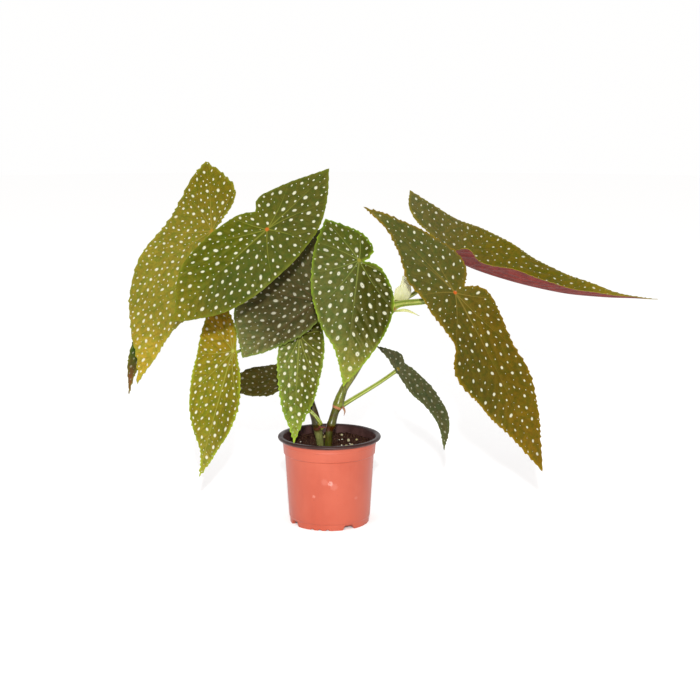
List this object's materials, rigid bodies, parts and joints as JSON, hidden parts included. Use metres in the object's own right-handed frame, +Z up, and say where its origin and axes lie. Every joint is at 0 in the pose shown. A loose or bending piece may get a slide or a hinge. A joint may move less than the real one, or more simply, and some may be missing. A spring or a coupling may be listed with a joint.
{
  "type": "potted cane begonia",
  "caption": "Spotted-leaf cane begonia growing in a round tapered nursery pot of soil, a free-standing house plant for a shelf or table.",
  "frame": {"origin": "centre of the pot's flat underside, at the level it stands on", "axes": "+Z up; -Y is the front that the plant is seen from; +X to the right from the front, along the plant's widest spread"},
  "size_m": [0.6345, 0.2216, 0.4158],
  "materials": {
    "pot_plastic": "satin",
    "potting_soil": "matte",
    "cane": "satin",
    "leaf_blade": "satin",
    "stalk": "satin",
    "stipule": "matte"
  },
  "bodies": {
    "root": {"pot": "pot_plastic", "soil": "potting_soil", "cane_left": "cane", "cane_right": "cane", "leaf_01": "leaf_blade", "leaf_02": "leaf_blade", "leaf_03": "leaf_blade", "leaf_04": "leaf_blade", "leaf_05": "leaf_blade", "leaf_06": "leaf_blade", "leaf_07": "leaf_blade", "leaf_08": "leaf_blade", "leaf_09": "leaf_blade", "leaf_10": "leaf_blade", "leaf_11": "leaf_blade", "petiole_01": "stalk", "petiole_02": "stalk", "petiole_03": "stalk", "petiole_04": "stalk", "petiole_05": "stalk", "petiole_06": "stalk", "petiole_07": "stalk", "petiole_08": "stalk", "petiole_09": "stalk", "petiole_10": "stalk", "petiole_11": "stalk", "stipule_1": "stipule", "stipule_2": "stipule", "stipule_3": "stipule", "stipule_4": "stipule"}
  },
  "joints": []
}
